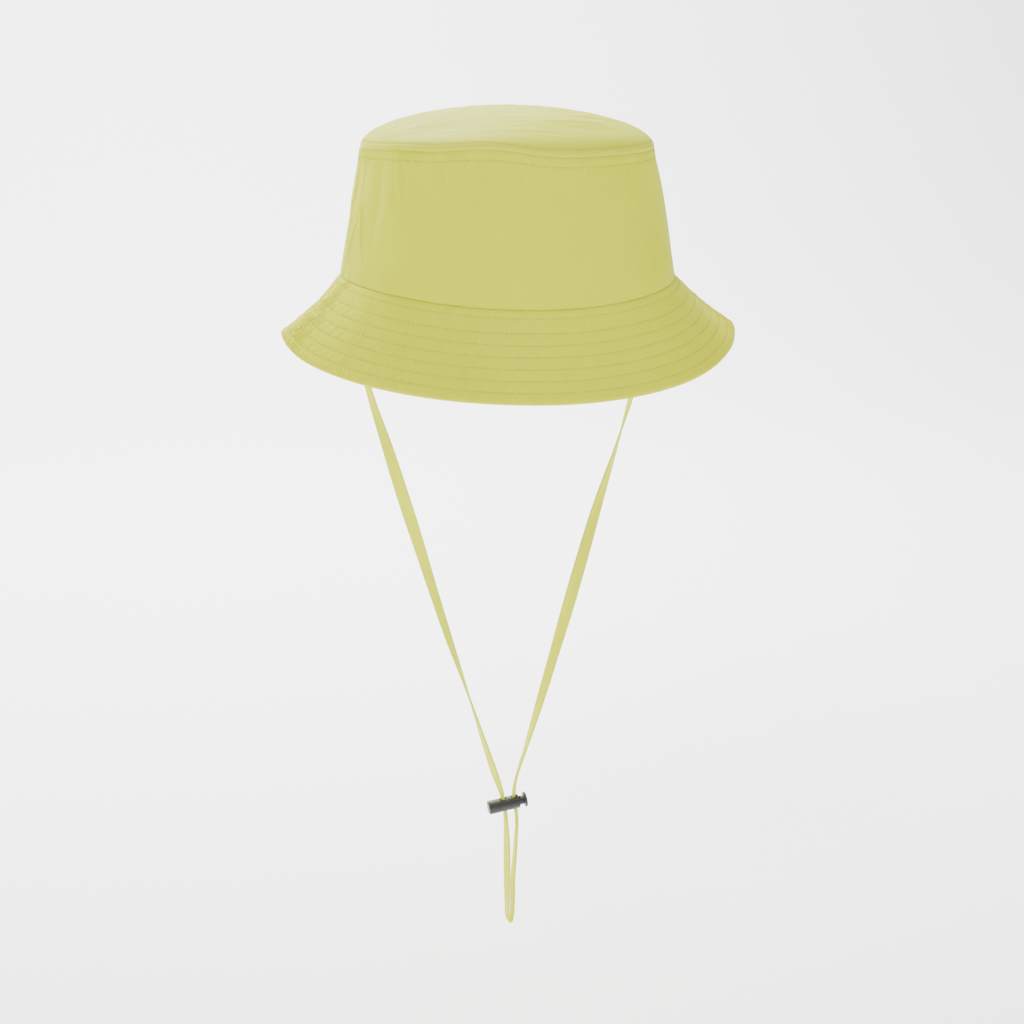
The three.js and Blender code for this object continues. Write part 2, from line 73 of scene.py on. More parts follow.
# Stitching
STITCH_PITCH = 2.4
STITCH_LENGTH = 1.25
THREAD = 0.42
# How far the threads darken: partly a slightly darker yellow thread, partly painted shade of threads sunk
# in the cloth
THREAD_PAINTED_SHADE = 0.8
THREAD_PITCH = 0.45
TOPSTITCH_AT = 4.3

# The brim's slope below the horizontal half way along its width, from the right side (0) by the
# front or back (90) to the left side (180), and how much steeper it starts than it ends
BRIM_FORM = [
    {"azimuth": 0, "slope": 38.7, "ease": 14.7},
    {"azimuth": 15, "slope": 46.3, "ease": 13.3},
    {"azimuth": 30, "slope": 56, "ease": 11.7},
    {"azimuth": 45, "slope": 60.9, "ease": 9.5},
    {"azimuth": 60, "slope": 62.7, "ease": 7.9},
    {"azimuth": 75, "slope": 63.1, "ease": 7.6},
    {"azimuth": 90, "slope": 63.6, "ease": 8.3},
    {"azimuth": 105, "slope": 63.1, "ease": 9},
    {"azimuth": 120, "slope": 63.1, "ease": 9.2},
    {"azimuth": 135, "slope": 62, "ease": 8.7},
    {"azimuth": 150, "slope": 58, "ease": 7.9},
    {"azimuth": 165, "slope": 49.6, "ease": 6.6},
    {"azimuth": 180, "slope": 38.8, "ease": 4.1},
]

# Stretches of the brim that flare more than that, and how far its stitching draws it in there
BRIM_WAVES = [
    {"azimuth": 62, "spread": 15, "lift": 2.5, "draw": 0},
    {"azimuth": 116, "spread": 16, "lift": -1.5, "draw": 0},
    {"azimuth": 177.5, "spread": 10.2, "lift": 0.7, "draw": 5},
]

# Where the seam between the crown's side and its tip runs higher, in millimetres
TIP_SEAM_WAVES = [
    {"azimuth": 248, "spread": 18, "rise": 4.5},
    {"azimuth": 215, "spread": 22, "rise": 2.2},
    {"azimuth": 60, "spread": 22, "rise": 2.5},
    {"azimuth": 115, "spread": 20, "rise": -1.5},
]

# Upright folds in the crown's side: the large ones of the CAD part, then small ones that start
# at the tip's seam. Lean is how many degrees a fold shifts from its low to its high end.
CROWN_FOLDS = [
    {"azimuth": 222, "low": 0.05, "high": 0.95, "spread": 7, "depth": 1.7, "lean": 0},
    {"azimuth": 208, "low": 0.3, "high": 1.1, "spread": 6.5, "depth": -0.8, "lean": 0},
    {"azimuth": 243, "low": 0.55, "high": 1.1, "spread": 6, "depth": 0.8, "lean": 0},
    {"azimuth": 318, "low": 0.1, "high": 1, "spread": 8, "depth": 1.3, "lean": 0},
    {"azimuth": 340, "low": 0.2, "high": 0.9, "spread": 7, "depth": -0.7, "lean": 0},
    {"azimuth": 35, "low": 0.1, "high": 0.95, "spread": 8, "depth": 1.3, "lean": 0},
    {"azimuth": 78, "low": 0.5, "high": 1.1, "spread": 7, "depth": 0.9, "lean": 0},
    {"azimuth": 131, "low": 0.05, "high": 0.9, "spread": 8, "depth": 1.5, "lean": 0},
    {"azimuth": 160, "low": 0.3, "high": 1, "spread": 7, "depth": -0.8, "lean": 0},
    {"azimuth": 201, "low": 0.1, "high": 0.95, "spread": 3.5, "depth": 0.6, "lean": 0},
    {"azimuth": 214, "low": 0.62, "high": 1.05, "spread": 1.6, "depth": 0.9, "lean": -5},
    {"azimuth": 211.5, "low": 0.62, "high": 1.05, "spread": 1.4, "depth": -0.6, "lean": -5},
    {"azimuth": 231, "low": 0.72, "high": 1.04, "spread": 1.5, "depth": 0.65, "lean": -5},
    {"azimuth": 245, "low": 0.78, "high": 1.04, "spread": 1.6, "depth": 0.55, "lean": -4},
    {"azimuth": 259, "low": 0.8, "high": 1.04, "spread": 1.5, "depth": 0.5, "lean": -4},
    {"azimuth": 177.5, "low": 0.36, "high": 0.93, "spread": 0.9, "depth": -0.9, "lean": 5},
    {"azimuth": 191.5, "low": 0.16, "high": 0.66, "spread": 1.1, "depth": -0.6, "lean": -8},
    {"azimuth": 193.5, "low": 0.12, "high": 0.66, "spread": 1.1, "depth": 0.6, "lean": -10},
    {"azimuth": 184.5, "low": 0.02, "high": 0.5, "spread": 1.4, "depth": -0.9, "lean": 5},
    {"azimuth": 187.5, "low": 0.1, "high": 0.9, "spread": 1.2, "depth": 0.5, "lean": 2},
    {"azimuth": 307, "low": 0.7, "high": 1.04, "spread": 2, "depth": 0.3, "lean": 4},
    {"azimuth": 20, "low": 0.7, "high": 1.04, "spread": 1.8, "depth": 0.4, "lean": 4},
    {"azimuth": 57, "low": 0.66, "high": 1.04, "spread": 1.9, "depth": 0.4, "lean": 3},
    {"azimuth": 98, "low": 0.75, "high": 1.04, "spread": 1.6, "depth": 0.35, "lean": -3},
    {"azimuth": 146, "low": 0.68, "high": 1.04, "spread": 1.8, "depth": 0.4, "lean": -4},
]

# Shallow creases and ridges in the tip, their ends as shares of the tip's half sizes: the CAD
# part's, then sharper ones
TIP_CREASES = [
    {"from_x": -0.9, "from_y": -0.36, "to_x": -0.35, "to_y": -0.62, "spread": 7, "depth": 1.5},
    {"from_x": 0.1, "from_y": -0.78, "to_x": 0.66, "to_y": -0.6, "spread": 7, "depth": 1.1},
    {"from_x": 0.2, "from_y": -0.45, "to_x": 0.75, "to_y": -0.28, "spread": 8, "depth": -0.8},
    {"from_x": -0.5, "from_y": 0.1, "to_x": 0.2, "to_y": -0.05, "spread": 10, "depth": 0.9},
    {"from_x": -0.7, "from_y": 0.55, "to_x": -0.1, "to_y": 0.72, "spread": 8, "depth": 1.1},
    {"from_x": 0.35, "from_y": 0.62, "to_x": 0.82, "to_y": 0.3, "spread": 8, "depth": 1.2},
    {"from_x": -0.86, "from_y": -0.44, "to_x": -0.3, "to_y": -0.84, "spread": 1.6, "depth": 0.5},
    {"from_x": -0.99, "from_y": -0.1, "to_x": -0.62, "to_y": -0.22, "spread": 1.6, "depth": 0.6},
    {"from_x": -0.97, "from_y": -0.24, "to_x": -0.6, "to_y": -0.42, "spread": 1.5, "depth": 0.55},
    {"from_x": -0.98, "from_y": 0.06, "to_x": -0.7, "to_y": 0.05, "spread": 1.6, "depth": 0.5},
    {"from_x": -0.94, "from_y": -0.3, "to_x": -0.66, "to_y": -0.36, "spread": 1.2, "depth": -0.6},
    {"from_x": -0.9, "from_y": -0.4, "to_x": -0.64, "to_y": -0.5, "spread": 1.2, "depth": 0.6},
    {"from_x": 0.05, "from_y": -0.62, "to_x": 0.62, "to_y": -0.52, "spread": 1.9, "depth": -0.5},
    {"from_x": 0.16, "from_y": -0.5, "to_x": 0.7, "to_y": -0.4, "spread": 2.1, "depth": 0.5},
    {"from_x": 0.1, "from_y": -0.34, "to_x": 0.55, "to_y": -0.24, "spread": 2.2, "depth": -0.5},
    {"from_x": -0.15, "from_y": -0.8, "to_x": 0.3, "to_y": -0.86, "spread": 1.8, "depth": 0.45},
    {"from_x": 0.99, "from_y": 0.02, "to_x": 0.7, "to_y": 0.02, "spread": 1.8, "depth": 0.45},
    {"from_x": 0.94, "from_y": -0.3, "to_x": 0.66, "to_y": -0.2, "spread": 1.8, "depth": 0.4},
]

# The chin strap's middle line, as in the CAD part
STRAP_ROUTE = [
    {"x": -85.9, "z": 9, "twist": 90, "bunched": 0},
    {"x": -87.4, "z": -5, "twist": 90, "bunched": 0},
    {"x": -84.8, "z": -28, "twist": 86, "bunched": 0},
    {"x": -76, "z": -64, "twist": 71, "bunched": 0},
    {"x": -67.7, "z": -91, "twist": 45, "bunched": 0},
    {"x": -59.5, "z": -118.5, "twist": 18, "bunched": 0},
    {"x": -51.1, "z": -146, "twist": -18, "bunched": 0},
    {"x": -42.6, "z": -174.5, "twist": -38, "bunched": 0},
    {"x": -33.9, "z": -203, "twist": -52, "bunched": 0},
    {"x": -24.4, "z": -232, "twist": -76, "bunched": 0},
    {"x": -12.2, "z": -271, "twist": -104, "bunched": 0},
    {"x": -6.6, "z": -288.5, "twist": -113, "bunched": 0.1},
    {"x": -3.6, "z": -297.6, "twist": -113, "bunched": 0.6},
    {"x": -2.51, "z": -301.6, "twist": -110, "bunched": 1},
    {"x": -1.81, "z": -306.05, "twist": -106, "bunched": 1},
    {"x": -1.11, "z": -310.5, "twist": -102, "bunched": 1},
    {"x": -0.5, "z": -317, "twist": -100, "bunched": 0.5},
    {"x": 0, "z": -332, "twist": -104, "bunched": 0},
    {"x": 0.1, "z": -353, "twist": -103, "bunched": 0},
    {"x": 0.05, "z": -369, "twist": -94, "bunched": 0},
    {"x": 0, "z": -375.4, "twist": -90, "bunched": 0},
    {"x": 1.3, "z": -378.4, "twist": -90, "bunched": 0},
    {"x": 2.8, "z": -375.8, "twist": -90, "bunched": 0},
    {"x": 3.4, "z": -367, "twist": -88, "bunched": 0},
    {"x": 3.7, "z": -351, "twist": -88, "bunched": 0},
    {"x": 5.1, "z": -332, "twist": -92, "bunched": 0.1},
    {"x": 5.85, "z": -316.5, "twist": -95, "bunched": 0.6},
    {"x": 5.31, "z": -309.5, "twist": -98, "bunched": 1},
    {"x": 4.61, "z": -305.03, "twist": -101, "bunched": 1},
    {"x": 3.91, "z": -300.6, "twist": -104, "bunched": 1},
    {"x": 5.6, "z": -290, "twist": -103, "bunched": 0.3},
    {"x": 11, "z": -273, "twist": -96, "bunched": 0},
    {"x": 19.6, "z": -245, "twist": -73, "bunched": 0},
    {"x": 30.7, "z": -207.5, "twist": -52, "bunched": 0},
    {"x": 41.4, "z": -170.5, "twist": -8, "bunched": 0},
    {"x": 52, "z": -134, "twist": 24, "bunched": 0},
    {"x": 63.4, "z": -98, "twist": 63, "bunched": 0},
    {"x": 73, "z": -65, "twist": 92, "bunched": 0},
    {"x": 87.4, "z": -5, "twist": 90, "bunched": 0},
    {"x": 85.9, "z": 9, "twist": 90, "bunched": 0},
]

# Linear colours. The tip's is a little paler than the crown's: painted light on the hat's top.
TIP_COLOUR = (0.84, 0.88, 0.03, 1)
CROWN_COLOUR = (0.84, 0.88, 0.005, 1)
BRIM_COLOUR = (0.84, 0.88, 0.01, 1)
STRAP_COLOUR = (0.86, 0.9, 0.03, 1)
TOGGLE_COLOUR = (0.03, 0.03, 0.033, 1)


def column(rows, name):
    return np.array([row[name] for row in rows], float)


def bell(distance, spread):
    """1 on the middle line of a fold, falling away to 0 on both sides."""
    return np.exp(-((distance / spread) ** 2))


def azimuth_between(a, b):
    return np.abs((a - b + 180) % 360 - 180)


def rumple(x, y, wave, seed):
    """Smooth noise from about -1 to 1 over a surface, in waves about this long."""
    numbers = np.random.default_rng(seed)
    total = np.zeros(np.broadcast(x, y).shape)
    count = 9
    for _ in range(count):
        turn = numbers.uniform(0, math.tau)
        length = wave * numbers.uniform(0.7, 1.5)
        phase = numbers.uniform(0, math.tau)
        total += np.sin(math.tau * (x * math.cos(turn) + y * math.sin(turn)) / length + phase)
    return total / math.sqrt(count)


def pucker(along, across, wave, slant, seed):
    """Small gathers across a seam, from about -1 to 1, uneven along it."""
    drift = 0.9 * rumple(along, across, 5 * wave, seed)
    strength = 0.65 + 0.35 * rumple(along, 0 * across, 7 * wave, seed + 1)
    return strength * np.sin(math.tau * (along + slant * across) / wave + 2.2 * drift)


def surface(base, lift, u, v, step):
    """Points of a base form moved along its outward normal, and those normals."""
    u, v = np.broadcast_arrays(np.asarray(u, float), np.asarray(v, float))
    point = base(u, v)
    along_u = base(u + step[0], v) - base(u - step[0], v)
    along_v = base(u, v + step[1]) - base(u, v - step[1])
    normal = np.cross(along_u, along_v)
    normal /= np.linalg.norm(normal, axis=-1, keepdims=True)
    return point + normal * lift(u, v)[..., None], normal


def add_mesh(name, points, quads, material, cloth=None, seam=None):
    """A closed mesh facing out. Cloth holds millimetres along its threads, for the weave, and seam
    is the painted shade of the stitched lines, 1 in a stitched line."""
    mesh = bpy.data.meshes.new(name)
    mesh.from_pydata((np.asarray(points) / 1000).tolist(), [], quads)
    body = bmesh.new()
    body.from_mesh(mesh)
    if body.calc_volume(signed=True) < 0:
        mesh.flip_normals()
    body.free()
    mesh.shade_smooth()
    mesh.materials.append(material)
    if cloth is not None:
        flat = np.concatenate([cloth.reshape(-1, 2), np.zeros((len(points), 1))], 1)
        mesh.attributes.new("cloth", "FLOAT_VECTOR", "POINT").data.foreach_set("vector", flat.ravel())
    if seam is not None:
        mesh.attributes.new("seam", "FLOAT", "POINT").data.foreach_set("value", seam.ravel())
    mesh.update()
    obj = bpy.data.objects.new(name, mesh)
    bpy.context.scene.collection.objects.link(obj)
    return obj


def loft(name, rings, material, cloth, seam=None, closed_along=False):
    """A skin through rings of as many points each, with a cap at both ends unless it closes."""
    count, size = rings.shape[:2]
    spans = count if closed_along else count - 1
    ring, corner = np.meshgrid(np.arange(spans), np.arange(size), indexing="ij")
    after = (corner + 1) % size
    ahead = (ring + 1) % count
    corners = [ring * size + corner, ring * size + after, ahead * size + after, ahead * size + corner]
    quads = np.stack(corners, -1).reshape(-1, 4).tolist()
    if not closed_along:
        quads.append(list(range(size))[::-1])
        quads.append(list(range((count - 1) * size, count * size)))
    return add_mesh(name, rings.reshape(-1, 3), quads, material, cloth, seam)


# Cloth and plastic


def principled(name, colour, roughness):
    material = bpy.data.materials.new(name)
    material.use_nodes = True
    shader = material.node_tree.nodes["Principled BSDF"]
    shader.inputs["Base Color"].default_value = colour
    shader.inputs["Roughness"].default_value = roughness
    return material, shader


def shaded(colour, share):
    return tuple(share * part for part in colour[:3]) + (1,)


def noise(nodes, links, place, scale, detail):
    texture = nodes.new("ShaderNodeTexNoise")
    texture.inputs["Scale"].default_value = scale
    texture.inputs["Detail"].default_value = detail
    links.new(place.outputs["Object"], texture.inputs["Vector"])
    return texture.outputs["Fac"]


def colour_mix(nodes, links, share, first, second):
    mix = nodes.new("ShaderNodeMix")
    mix.data_type = "RGBA"
    links.new(share, mix.inputs[0])
    for socket, value in ((mix.inputs[6], first), (mix.inputs[7], second)):
        if isinstance(value, tuple):
            socket.default_value = value
        else:
            links.new(value, socket)
    return mix.outputs[2]


def thread_waves(nodes, links, cloth, direction):
    wave = nodes.new("ShaderNodeTexWave")
    wave.bands_direction = direction
    wave.inputs["Scale"].default_value = math.tau / 20 / THREAD_PITCH
    links.new(cloth, wave.inputs["Vector"])
    return wave.outputs["Fac"]


def nylon(name, colour):
    """Thin woven nylon: fine crossing threads, faint cloudy shade, and painted shade along its stitched
    lines.
    """
    material, shader = principled(name, colour, 0.55)
    shader.inputs["Specular IOR Level"].default_value = 0.06
    nodes = material.node_tree.nodes
    links = material.node_tree.links
    place = nodes.new("ShaderNodeTexCoord")
    cloud = noise(nodes, links, place, 16, 2)
    cloudy = colour_mix(nodes, links, cloud, colour, shaded(colour, 0.9))
    # Painted shade: the seam attribute darkens the colour along stitched lines, where their grooves would
    # be in shade
    painted_groove_shade = nodes.new("ShaderNodeAttribute")
    painted_groove_shade.attribute_name = "seam"
    final = colour_mix(nodes, links, painted_groove_shade.outputs["Fac"], cloudy, shaded(colour, 0.62))
    links.new(final, shader.inputs["Base Color"])
    cloth = nodes.new("ShaderNodeAttribute")
    cloth.attribute_name = "cloth"
    weave = nodes.new("ShaderNodeMath")
    weave.operation = "MULTIPLY"
    links.new(thread_waves(nodes, links, cloth.outputs["Vector"], "X"), weave.inputs[0])
    links.new(thread_waves(nodes, links, cloth.outputs["Vector"], "Y"), weave.inputs[1])
    threads = nodes.new("ShaderNodeBump")
    threads.inputs["Strength"].default_value = 0.3
    threads.inputs["Distance"].default_value = 0.00005
    links.new(weave.outputs[0], threads.inputs["Height"])
    crinkle = nodes.new("ShaderNodeBump")
    crinkle.inputs["Strength"].default_value = 0.35
    crinkle.inputs["Distance"].default_value = 0.0002
    links.new(noise(nodes, links, place, 330, 3), crinkle.inputs["Height"])
    links.new(threads.outputs["Normal"], crinkle.inputs["Normal"])
    links.new(crinkle.outputs["Normal"], shader.inputs["Normal"])
    return material


def moulded(name, colour):
    """Dark moulded plastic with a faint mottle in its colour and gloss."""
    material, shader = principled(name, colour, 0.4)
    nodes = material.node_tree.nodes
    links = material.node_tree.links
    place = nodes.new("ShaderNodeTexCoord")
    mottle = noise(nodes, links, place, 900, 2)
    final = colour_mix(nodes, links, mottle, colour, shaded(colour, 0.75))
    links.new(final, shader.inputs["Base Color"])
    gloss = nodes.new("ShaderNodeMapRange")
    gloss.inputs["To Min"].default_value = 0.34
    gloss.inputs["To Max"].default_value = 0.5
    links.new(mottle, gloss.inputs["Value"])
    links.new(gloss.outputs["Result"], shader.inputs["Roughness"])
    return material


tip_nylon = nylon("tip_nylon", TIP_COLOUR)
crown_nylon = nylon("crown_nylon", CROWN_COLOUR)
brim_nylon = nylon("brim_nylon", BRIM_COLOUR)
strap_nylon = nylon("strap_nylon", STRAP_COLOUR)
toggle_plastic = moulded("toggle_plastic", TOGGLE_COLOUR)

# Camera, at the photograph's angle

camera = bpy.data.objects.new("camera", bpy.data.cameras.new("camera"))
bpy.context.scene.collection.objects.link(camera)
bpy.context.scene.camera = camera
camera.location = (-0.2934, -1.1636, 0.1615)
camera_aim = Vector((0, 0, -0.1334))
camera.rotation_euler = (camera_aim - camera.location).to_track_quat("-Z", "Y").to_euler()
camera.data.sensor_width = 36
camera.data.lens = 78.16
camera.data.shift_x = 0.005

# The chin strap


def strap_line():
    """The strap's middle line, evenly stepped, with its twist and how far it is gathered."""
    rows = np.stack([column(STRAP_ROUTE, name) for name in ("x", "z", "twist", "bunched")], -1)
    before = np.vstack([2 * rows[0] - rows[1], rows[:-1]])
    after = np.vstack([rows[1:], 2 * rows[-1] - rows[-2]])
    fine = []
    steps = 16
    for k in range(len(rows) - 1):
        gap = np.linalg.norm(rows[k + 1, :2] - rows[k, :2])
        gap_before = np.linalg.norm(rows[k, :2] - before[k, :2])
        gap_after = np.linalg.norm(after[k + 1, :2] - rows[k + 1, :2])
        leave = (rows[k + 1] - before[k]) * gap / (gap + gap_before)
        arrive = (after[k + 1] - rows[k]) * gap / (gap + gap_after)
        u = (np.arange(steps) / steps)[:, None]
        fine.append(
            (2 * u**3 - 3 * u**2 + 1) * rows[k]
            + (3 * u**2 - 2 * u**3) * rows[k + 1]
            + (u**3 - 2 * u**2 + u) * leave
            + (u**3 - u**2) * arrive
        )
    fine = np.vstack([*fine, rows[-1:]])
    reached = np.concatenate([[0], np.cumsum(np.linalg.norm(np.diff(fine[:, :2], axis=0), axis=1))])
    at = np.linspace(0, reached[-1], 640)
    return np.stack([np.interp(at, reached, fine[:, k]) for k in range(4)], -1), at


def strap_section(bunched, at):
    """Corners of the tape's cross-section, folded hems along both edges, or a pleated bundle."""
    sides = 24
    turn = (np.arange(sides) + 0.5) * math.tau / sides
    half = STRAP_WIDTH / 2
    flat_x = half * np.sign(np.cos(turn)) * np.abs(np.cos(turn)) ** 0.55
    hem = 0.16 * bell(np.abs(flat_x) - 2.4, 0.9) - 0.1 * bell(np.abs(flat_x) - 1.3, 0.4)
    thick = STRAP_THICKNESS / 2 * np.abs(np.sin(turn)) ** 0.3 * (0.82 + hem)
    flat_y = thick * np.sign(np.sin(turn)) + 0.12 * math.sin(at / 9.3) * bell(flat_x, 2.5)
    pleats = 1 + 0.16 * np.cos(5 * turn + at / 6)
    round_x = STRAP_BUNCHED / 2 * pleats * np.cos(turn)
    round_y = STRAP_BUNCHED / 2 * pleats * np.sin(turn)
    return flat_x + (round_x - flat_x) * bunched, flat_y + (round_y - flat_y) * bunched


def strap():
    line, at = strap_line()
    place = np.stack([line[:, 0], 0 * line[:, 0], line[:, 1]], -1)
    along = np.gradient(place, axis=0)
    along /= np.linalg.norm(along, axis=1, keepdims=True)
    front_to_back = np.array([0.0, 1.0, 0.0])
    sideways = np.cross(front_to_back, along)
    twist = np.radians(line[:, 2])[:, None]
    across = sideways * np.cos(twist) + front_to_back * np.sin(twist)
    through = np.cross(along, across)
    rings = []
    cloth = []
    for k, bunched in enumerate(np.clip(line[:, 3], 0, 1)):
        x, y = strap_section(bunched, at[k])
        rings.append(place[k] + across[k] * x[:, None] + through[k] * y[:, None])
        cloth.append(np.stack([x, np.full(x.shape, at[k])], -1))
    obj = loft("strap", np.array(rings), strap_nylon, np.array(cloth))
    return obj, place / 1000, at[-1] / 1000


strap_piece, strap_path, strap_length = strap()
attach(strap_piece, "hat")
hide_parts("chin_strap")

for node in ("toggle_barrel", "toggle_plunger"):
    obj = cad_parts[node]
    obj.data.materials.clear()
    obj.data.materials.append(toggle_plastic)
    edge = obj.modifiers.new("rounded edges", "BEVEL")
    edge.width = 0.0002
    edge.segments = 2
    edge.limit_method = "ANGLE"
    edge.angle_limit = math.radians(35)
    obj.data.shade_smooth()

# The crown's side


def seam_drop(azimuth):
    return SEAM_DIP * np.sin(np.radians(azimuth)) ** 2


def tip_seam_rise(azimuth):
    rise = 0
    for wave in TIP_SEAM_WAVES:
        rise = rise + wave["rise"] * bell(azimuth_between(azimuth, wave["azimuth"]), wave["spread"])
    return rise


def crown_dent(azimuth, share):
    dent = np.zeros(np.broadcast(azimuth, share).shape)
    for fold in CROWN_FOLDS:
        along = (share - fold["low"]) / (fold["high"] - fold["low"])
        middle = fold["azimuth"] + fold["lean"] * (along - 0.5)
        away = np.radians(azimuth_between(azimuth, middle)) * HEAD_HALF_WIDTH
        depth = fold["depth"] * bell(away, fold["spread"])
        dent += np.where((along > 0) & (along < 1), depth * np.sin(math.pi * along), 0)
    return dent


def crown_base(azimuth, share):
    angle = np.radians(azimuth)
    half_width = HEAD_HALF_WIDTH + (TIP_HALF_WIDTH - HEAD_HALF_WIDTH) * share
    half_depth = HEAD_HALF_DEPTH + (TIP_HALF_DEPTH - HEAD_HALF_DEPTH) * share
    bottom = SEAM_SHOWS - seam_drop(azimuth)
    top = CROWN_HEIGHT - SEAM_SHOWS / 2 + tip_seam_rise(azimuth)
    z = bottom + (top - bottom) * share
    return np.stack([half_width * np.cos(angle), half_depth * np.sin(angle), z], -1)


def seam_side(azimuth):
    """Degrees to the nearer side seam, at azimuth 0 or 180, and which of the two it is."""
    to_left = (azimuth - 180 + 180) % 360 - 180
    to_right = (azimuth + 180) % 360 - 180
    left = np.abs(to_left) < np.abs(to_right)
    return np.where(left, to_left, to_right), left


def crown_lift(azimuth, share):
    """How far the crown's cloth stands out from its plain form."""
    along = np.radians(azimuth) * 88
    up = share * CROWN_HEIGHT
    from_top = CROWN_HEIGHT - up
    to_seam, left = seam_side(azimuth)
    aside = np.abs(np.radians(to_seam) * 86)
    lift = -crown_dent(azimuth, share)
    lift += 0.3 * rumple(along, up, 46, 1) * np.sin(math.pi * np.clip(share, 0, 1)) ** 0.5
    lift += 0.1 * rumple(along, up * 0.6, 13, 2)
    under_tip = bell(np.maximum(from_top - TOPSTITCH_AT, 0), 3.5)
    uneven = 0.25 + 0.12 * rumple(along, 0 * up, 60, 3) + 0.3 * bell(azimuth_between(azimuth, 229), 14)
    lift += uneven * under_tip * pucker(along, up, 3, 0.5, 4)
    lift -= 0.2 * bell(from_top - TOPSTITCH_AT, 0.45)
    lift += 0.12 * bell(from_top - TOPSTITCH_AT / 2, 1.5)
    gather = np.where(left, 0.34, 0.26) * np.exp(-aside / 6)
    lift += gather * pucker(up, aside, 5.2, 0.55, 5) * np.clip(from_top / 6, 0, 1)
    sway = 1.6 * rumple(up, 0 * aside, 40, 6)
    upright = np.where(left, 0.42, 0.3) * (0.6 + 0.4 * rumple(up, aside, 30, 7))
    lift += upright * (bell(aside - 3.2 - 0.3 * sway, 1.5) + 0.8 * bell(aside - 10 - sway, 2.2))
    lift -= 0.6 * bell(aside, 0.9)
    lift -= 0.25 * np.exp(-from_top / 0.4) + 0.3 * np.exp(-up / 0.4)
    return lift


# Painted shade along the crown's stitched lines: its topstitch row and its seams at the bottom and under
# the tip
def crown_painted_shade(share):
    from_top = CROWN_HEIGHT * (1 - share)
    ends = 0.9 * np.exp(-CROWN_HEIGHT * share / 0.35) + 0.55 * np.exp(-from_top / 0.35)
    return 0.2 * bell(from_top - TOPSTITCH_AT, 0.35) + ends


def crown_surface(azimuth, share):
    return surface(crown_base, crown_lift, azimuth, share, (0.05, 0.0005))


def places_between(lines, step):
    """Distances from the first to the last of some stitched lines, closest beside each line."""
    places = []
    for first, second in zip(lines[:-1], lines[1:]):
        count = max(int((second - first - 1.4) / step), 2)
        places.append([first, first + 0.3, *np.linspace(first + 0.7, second - 0.7, count), second - 0.3])
    return np.append(np.concatenate(places), lines[-1])


def half_round(start, columns):
    """Azimuths of half of the hat, closer together towards its side seams."""
    seam_gap = 0.06
    share = np.linspace(0, 1, columns)
    share = share - 0.45 / math.tau * np.sin(math.tau * share)
    return (start + seam_gap + (180 - 2 * seam_gap) * share)[:, None]


def cloth_place(along, across):
    return np.stack(np.broadcast_arrays(along, across), -1)


def crown_piece(name, node, start):
    rows = 1 - places_between([0, TOPSTITCH_AT, CROWN_HEIGHT], 0.62)[::-1] / CROWN_HEIGHT
    azimuth = half_round(start, 560)
    outer, _ = crown_surface(azimuth, rows[None, :])
    inner_rows = np.array([1, 0.9, 0.75, 0.5, 0.25, 0.1, 0])
    inner, normal = crown_surface(azimuth, np.clip(inner_rows, 0.02, 0.98)[None, :])
    plain = crown_base(*np.broadcast_arrays(azimuth, inner_rows[None, :]))
    inner[..., 2] = plain[..., 2]
    inner = inner - normal * CROWN_WALL
    inner[:, 0, 2] += 1.4
    inner[:, -1, 2] -= 1.6
    inner[:, [0, -1], :2] *= 0.992
    share = np.concatenate([rows, inner_rows])[None, :]
    cloth = cloth_place(np.radians(azimuth) * 88, share * CROWN_HEIGHT)
    # The seam attribute holds the painted shade of the crown's stitched lines
    seam = np.broadcast_to(crown_painted_shade(share), cloth.shape[:2])
    obj = loft(name, np.concatenate([outer, inner], 1), crown_nylon, cloth, seam)
    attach(obj, "hat")
    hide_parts(node)


crown_piece("crown_cloth_front", "crown_front", 180)
crown_piece("crown_cloth_back", "crown_back", 0)

# The tip


def tip_base(azimuth, lean):
    angle = np.radians(azimuth)
    reach = np.sin(np.radians(lean))
    rise = np.sqrt(np.clip(1 - np.abs(reach) ** TIP_ROUNDNESS, 0, None))
    x = TIP_HALF_WIDTH * reach * np.cos(angle)
    y = TIP_HALF_DEPTH * reach * np.sin(angle)
    rim = CROWN_HEIGHT + SEAM_SHOWS / 2 + tip_seam_rise(azimuth) * np.abs(reach) ** TIP_SEAM_REACH
    return np.stack([x, y, rim + TIP_RISE * rise], -1)


